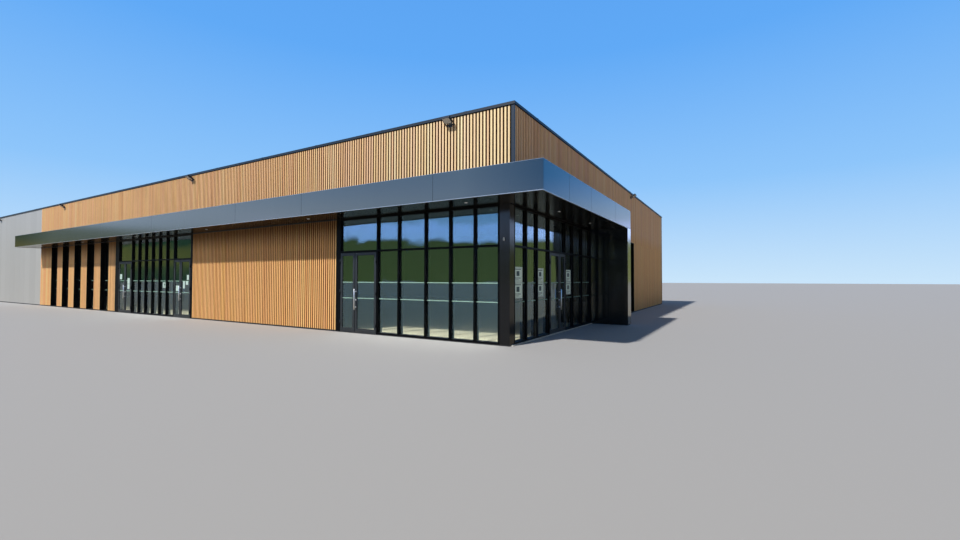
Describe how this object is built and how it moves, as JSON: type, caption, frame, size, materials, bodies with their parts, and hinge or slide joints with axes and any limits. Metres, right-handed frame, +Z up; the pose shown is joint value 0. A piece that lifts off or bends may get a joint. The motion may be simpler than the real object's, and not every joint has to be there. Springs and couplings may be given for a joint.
{
  "type": "supermarket building at 1:2 scale",
  "caption": "Scale model at 1:2 of a flat-roofed supermarket: slatted front and side, glazed corner entrance, canopy, hinged glass doors, grey sheet-clad rear.",
  "frame": {"origin": "centre of the footprint's bounding box at ground level, on the floor slab's underside", "axes": "+X to the right along the slatted front, towards the glazed corner; +Y from the front to the back; +Z up. The front faces -Y and the glazed side faces +X"},
  "size_m": [24.65, 12.505, 3.118],
  "materials": {
    "concrete": "smooth floor",
    "roof_membrane": "matt",
    "anthracite_sheet": "satin",
    "wall_panel": "satin",
    "wood_slats": "matt",
    "grey_sheet": "satin",
    "black_frame": "satin",
    "canopy_steel": "satin",
    "soffit_sheet": "gloss",
    "canopy_roof": "satin",
    "screen_glass": "clear, slightly green",
    "door_glass": "clear, slightly green",
    "handle_steel": "brushed",
    "lamp_body": "satin",
    "lamp_lens": "opal"
  },
  "bodies": {
    "root": {"floor_slab": "concrete", "roof_deck": "roof_membrane", "parapet_coping": "anthracite_sheet", "front_wall_upper": "wall_panel", "front_wall_left": "wall_panel", "front_wall_centre": "wall_panel", "window_piers": "wall_panel", "left_wall": "wall_panel", "back_wall": "wall_panel", "right_wall_upper": "wall_panel", "right_wall_rear": "wall_panel", "front_slats_upper": "wood_slats", "front_slats_centre": "wood_slats", "front_slats_piers": "wood_slats", "right_slats_upper": "wood_slats", "right_slats_rear": "wood_slats", "grey_cladding": "grey_sheet", "corner_trims": "anthracite_sheet", "base_flashing": "black_frame", "canopy_core": "canopy_steel", "canopy_fascia": "anthracite_sheet", "canopy_soffit": "soffit_sheet", "canopy_roof_sheet": "canopy_roof", "return_wall": "canopy_steel", "return_wall_panels": "anthracite_sheet", "corner_post": "black_frame", "corner_front_frame": "black_frame", "corner_front_glass": "screen_glass", "corner_side_frame": "black_frame", "corner_side_glass": "screen_glass", "middle_frame": "black_frame", "middle_glass": "screen_glass", "window_frames": "black_frame", "window_glass": "screen_glass", "floodlights": "lamp_body", "downlights": "lamp_lens"},
    "front_door_left": {"front_door_left_frame": "black_frame", "front_door_left_glass": "door_glass"},
    "front_door_right": {"front_door_right_frame": "black_frame", "front_door_right_glass": "door_glass", "front_door_handle": "handle_steel"},
    "middle_door_left": {"middle_door_left_frame": "black_frame", "middle_door_left_glass": "door_glass"},
    "middle_door_right": {"middle_door_right_frame": "black_frame", "middle_door_right_glass": "door_glass", "middle_door_handle": "handle_steel"},
    "left_door_left": {"left_door_left_frame": "black_frame", "left_door_left_glass": "door_glass"},
    "left_door_right": {"left_door_right_frame": "black_frame", "left_door_right_glass": "door_glass", "left_door_handle": "handle_steel"},
    "side_door_left": {"side_door_left_frame": "black_frame", "side_door_left_glass": "door_glass", "side_door_handle": "handle_steel"},
    "side_door_right": {"side_door_right_frame": "black_frame", "side_door_right_glass": "door_glass"}
  },
  "joints": [
    {"name": "front_door_left_swing", "type": "hinge", "parent": "root", "child": "front_door_left", "pos_m": [8.566, -5.6688, 0], "axis": [0, 0, -1], "range_deg": [0, 90]},
    {"name": "front_door_right_swing", "type": "hinge", "parent": "root", "child": "front_door_right", "pos_m": [9.346, -5.6688, 0], "axis": [0, 0, 1], "range_deg": [0, 90]},
    {"name": "middle_door_left_swing", "type": "hinge", "parent": "root", "child": "middle_door_left", "pos_m": [3.277, -5.6688, 0], "axis": [0, 0, -1], "range_deg": [0, 90]},
    {"name": "middle_door_right_swing", "type": "hinge", "parent": "root", "child": "middle_door_right", "pos_m": [3.962, -5.6688, 0], "axis": [0, 0, 1], "range_deg": [0, 90]},
    {"name": "left_door_left_swing", "type": "hinge", "parent": "root", "child": "left_door_left", "pos_m": [0.519, -5.6688, 0], "axis": [0, 0, -1], "range_deg": [0, 90]},
    {"name": "left_door_right_swing", "type": "hinge", "parent": "root", "child": "left_door_right", "pos_m": [1.21, -5.6688, 0], "axis": [0, 0, 1], "range_deg": [0, 90]},
    {"name": "side_door_left_swing", "type": "hinge", "parent": "root", "child": "side_door_left", "pos_m": [11.6313, -4.3015, 0], "axis": [0, 0, -1], "range_deg": [0, 90]},
    {"name": "side_door_right_swing", "type": "hinge", "parent": "root", "child": "side_door_right", "pos_m": [11.6313, -3.6165, 0], "axis": [0, 0, 1], "range_deg": [0, 90]}
  ]
}
